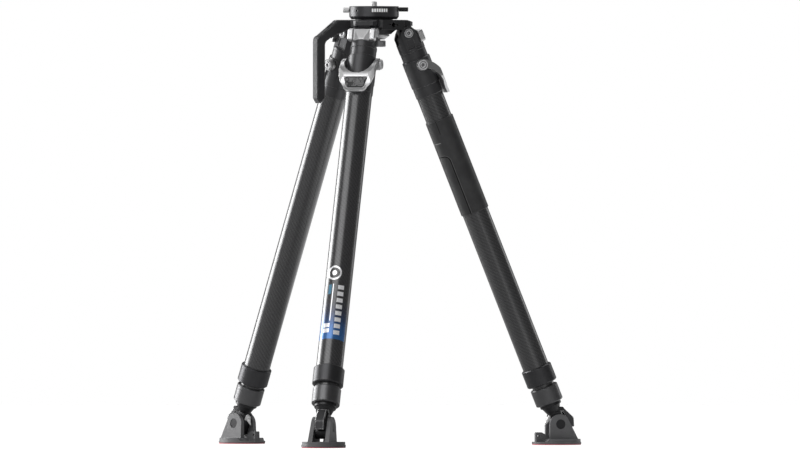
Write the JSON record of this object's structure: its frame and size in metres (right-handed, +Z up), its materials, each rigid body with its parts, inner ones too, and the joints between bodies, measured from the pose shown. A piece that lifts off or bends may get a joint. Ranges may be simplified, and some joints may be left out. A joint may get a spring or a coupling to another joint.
{
  "type": "tripod",
  "caption": "Carbon-fibre video tripod with telescoping legs, quick lock levers, pivoting rubber feet, a carry handle and a flat head disc with a camera screw.",
  "frame": {"origin": "centre of the footprint's box on the floor", "axes": "+Z up; -Y towards the front leg; +X towards the right leg's side"},
  "size_m": [0.6024, 0.5308, 0.711],
  "materials": {
    "anodised_black": "fine bead-blasted black anodising",
    "ferrule_metal": "turned black anodising with fine grooves",
    "carbon_fibre": "fine twill carbon weave under a satin coat",
    "silver": "satin bright anodising",
    "steel": "bright turned steel",
    "dark_steel": "blackened steel",
    "grey_metal": "grey anodising",
    "black_metal": "black anodising",
    "handle_metal": "fine-textured dark paint",
    "latch_metal": "black paint with worn bright edges",
    "grey_plastic": "fine-grained moulded grey plastic",
    "red_rubber": "matte red rubber",
    "grip_rubber": "matte ribbed black rubber"
  },
  "bodies": {
    "head": {"hub": "anodised_black", "hinge_bolts": "steel", "head_disc": "anodised_black", "disc_set_screws": "dark_steel", "carry_handle": "handle_metal", "handle_screw": "dark_steel"},
    "tie_down": {"camera_screw": "steel", "tie_down_flange": "silver", "tie_down_knob": "grey_metal"},
    "side_knob": {"clamp_knob": "silver"},
    "safety_pin": {"lock_bar": "black_metal"},
    "front_leg": {"front_shoulder": "anodised_black", "front_lock_collar": "anodised_black", "front_upper_tube": "carbon_fibre", "front_upper_ferrule": "ferrule_metal"},
    "front_lever": {"front_lock_lever": "silver", "front_cam_shaft": "steel"},
    "front_stop": {"front_angle_stop": "silver"},
    "front_middle": {"front_middle_tube": "carbon_fibre", "front_middle_ferrule": "ferrule_metal"},
    "front_lower": {"front_lower_tube": "carbon_fibre", "front_ankle": "black_metal", "front_spike": "steel"},
    "front_latch": {"front_foot_latch": "latch_metal"},
    "front_foot": {"front_foot": "grey_plastic", "front_foot_pin": "black_metal", "front_sole": "red_rubber"},
    "right_leg": {"right_shoulder": "anodised_black", "right_lock_collar": "anodised_black", "right_upper_tube": "carbon_fibre", "right_upper_ferrule": "ferrule_metal", "right_grip_sleeve": "grip_rubber"},
    "right_lever": {"right_lock_lever": "silver", "right_cam_shaft": "steel"},
    "right_stop": {"right_angle_stop": "silver"},
    "right_middle": {"right_middle_tube": "carbon_fibre", "right_middle_ferrule": "ferrule_metal"},
    "right_lower": {"right_lower_tube": "carbon_fibre", "right_ankle": "black_metal", "right_spike": "steel"},
    "right_latch": {"right_foot_latch": "latch_metal"},
    "right_foot": {"right_foot": "grey_plastic", "right_foot_pin": "black_metal", "right_sole": "red_rubber"},
    "left_leg": {"left_shoulder": "anodised_black", "left_lock_collar": "anodised_black", "left_upper_tube": "carbon_fibre", "left_upper_ferrule": "ferrule_metal"},
    "left_lever": {"left_lock_lever": "silver", "left_cam_shaft": "steel"},
    "left_stop": {"left_angle_stop": "silver"},
    "left_middle": {"left_middle_tube": "carbon_fibre", "left_middle_ferrule": "ferrule_metal"},
    "left_lower": {"left_lower_tube": "carbon_fibre", "left_ankle": "black_metal", "left_spike": "steel"},
    "left_latch": {"left_foot_latch": "latch_metal"},
    "left_foot": {"left_foot": "grey_plastic", "left_foot_pin": "black_metal", "left_sole": "red_rubber"}
  },
  "joints": [
    {"name": "tie_down_turn", "type": "hinge", "parent": "head", "child": "tie_down", "pos_m": [0, 0.07758, 0.64], "axis": [0, 0, 1], "continuous": true},
    {"name": "side_knob_turn", "type": "hinge", "parent": "head", "child": "side_knob", "pos_m": [-0.03835, 0.0673, 0.6969], "axis": [-0.9659, -0.2588, 0], "continuous": true},
    {"name": "safety_pin_pull", "type": "slide", "parent": "head", "child": "safety_pin", "axis": [0.9659, 0.2588, 0], "range_m": [0, 0.004], "stiffness_N_per_m": 300, "springref_m": -0.002},
    {"name": "front_leg_swing", "type": "hinge", "parent": "head", "child": "front_leg", "pos_m": [0, 0.02528, 0.6598], "axis": [-1, 0, 0], "range_deg": [-20, 0]},
    {"name": "front_lever_open", "type": "hinge", "parent": "front_leg", "child": "front_lever", "pos_m": [0, 0.00479, 0.60908], "axis": [-1, 0, 0], "range_deg": [0, 85]},
    {"name": "front_stop_pull", "type": "slide", "parent": "front_leg", "child": "front_stop", "axis": [0, -0.9272, 0.3746], "range_m": [0, 0.005], "stiffness_N_per_m": 400, "springref_m": -0.002},
    {"name": "front_middle_slide", "type": "slide", "parent": "front_leg", "child": "front_middle", "axis": [0, -0.3746, -0.9272], "range_m": [0, 0.38]},
    {"name": "front_lower_slide", "type": "slide", "parent": "front_middle", "child": "front_lower", "axis": [0, -0.3746, -0.9272], "range_m": [0, 0.38]},
    {"name": "front_latch_lift", "type": "hinge", "parent": "front_lower", "child": "front_latch", "pos_m": [0, -0.23226, 0.05852], "axis": [-1, 0, 0], "range_deg": [0, 25], "stiffness_Nm_per_rad": 0.05, "springref_deg": -17.19},
    {"name": "front_foot_tilt", "type": "hinge", "parent": "front_lower", "child": "front_foot", "pos_m": [0, -0.22796, 0.03302], "axis": [-1, 0, 0], "range_deg": [-22, 22]},
    {"name": "right_leg_swing", "type": "hinge", "parent": "head", "child": "right_leg", "pos_m": [0.04529, 0.10373, 0.6598], "axis": [0.5, -0.866, 0], "range_deg": [-20, 0]},
    {"name": "right_lever_open", "type": "hinge", "parent": "right_leg", "child": "right_lever", "pos_m": [0.06304, 0.11397, 0.60908], "axis": [0.5, -0.866, 0], "range_deg": [0, 85]},
    {"name": "right_stop_pull", "type": "slide", "parent": "right_leg", "child": "right_stop", "axis": [0.803, 0.4636, 0.3746], "range_m": [0, 0.005], "stiffness_N_per_m": 400, "springref_m": -0.002},
    {"name": "right_middle_slide", "type": "slide", "parent": "right_leg", "child": "right_middle", "axis": [0.3244, 0.1873, -0.9272], "range_m": [0, 0.38]},
    {"name": "right_lower_slide", "type": "slide", "parent": "right_middle", "child": "right_lower", "axis": [0.3244, 0.1873, -0.9272], "range_m": [0, 0.38]},
    {"name": "right_latch_lift", "type": "hinge", "parent": "right_lower", "child": "right_latch", "pos_m": [0.26832, 0.23249, 0.05852], "axis": [0.5, -0.866, 0], "range_deg": [0, 25], "stiffness_Nm_per_rad": 0.05, "springref_deg": -17.19},
    {"name": "right_foot_tilt", "type": "hinge", "parent": "right_lower", "child": "right_foot", "pos_m": [0.2646, 0.23034, 0.03302], "axis": [0.5, -0.866, 0], "range_deg": [-22, 22]},
    {"name": "left_leg_swing", "type": "hinge", "parent": "head", "child": "left_leg", "pos_m": [-0.04529, 0.10373, 0.6598], "axis": [0.5, 0.866, 0], "range_deg": [-20, 0]},
    {"name": "left_lever_open", "type": "hinge", "parent": "left_leg", "child": "left_lever", "pos_m": [-0.06304, 0.11397, 0.60908], "axis": [0.5, 0.866, 0], "range_deg": [0, 85]},
    {"name": "left_stop_pull", "type": "slide", "parent": "left_leg", "child": "left_stop", "axis": [-0.803, 0.4636, 0.3746], "range_m": [0, 0.005], "stiffness_N_per_m": 400, "springref_m": -0.002},
    {"name": "left_middle_slide", "type": "slide", "parent": "left_leg", "child": "left_middle", "axis": [-0.3244, 0.1873, -0.9272], "range_m": [0, 0.38]},
    {"name": "left_lower_slide", "type": "slide", "parent": "left_middle", "child": "left_lower", "axis": [-0.3244, 0.1873, -0.9272], "range_m": [0, 0.38]},
    {"name": "left_latch_lift", "type": "hinge", "parent": "left_lower", "child": "left_latch", "pos_m": [-0.26832, 0.23249, 0.05852], "axis": [0.5, 0.866, 0], "range_deg": [0, 25], "stiffness_Nm_per_rad": 0.05, "springref_deg": -17.19},
    {"name": "left_foot_tilt", "type": "hinge", "parent": "left_lower", "child": "left_foot", "pos_m": [-0.2646, 0.23034, 0.03302], "axis": [0.5, 0.866, 0], "range_deg": [-22, 22]}
  ]
}
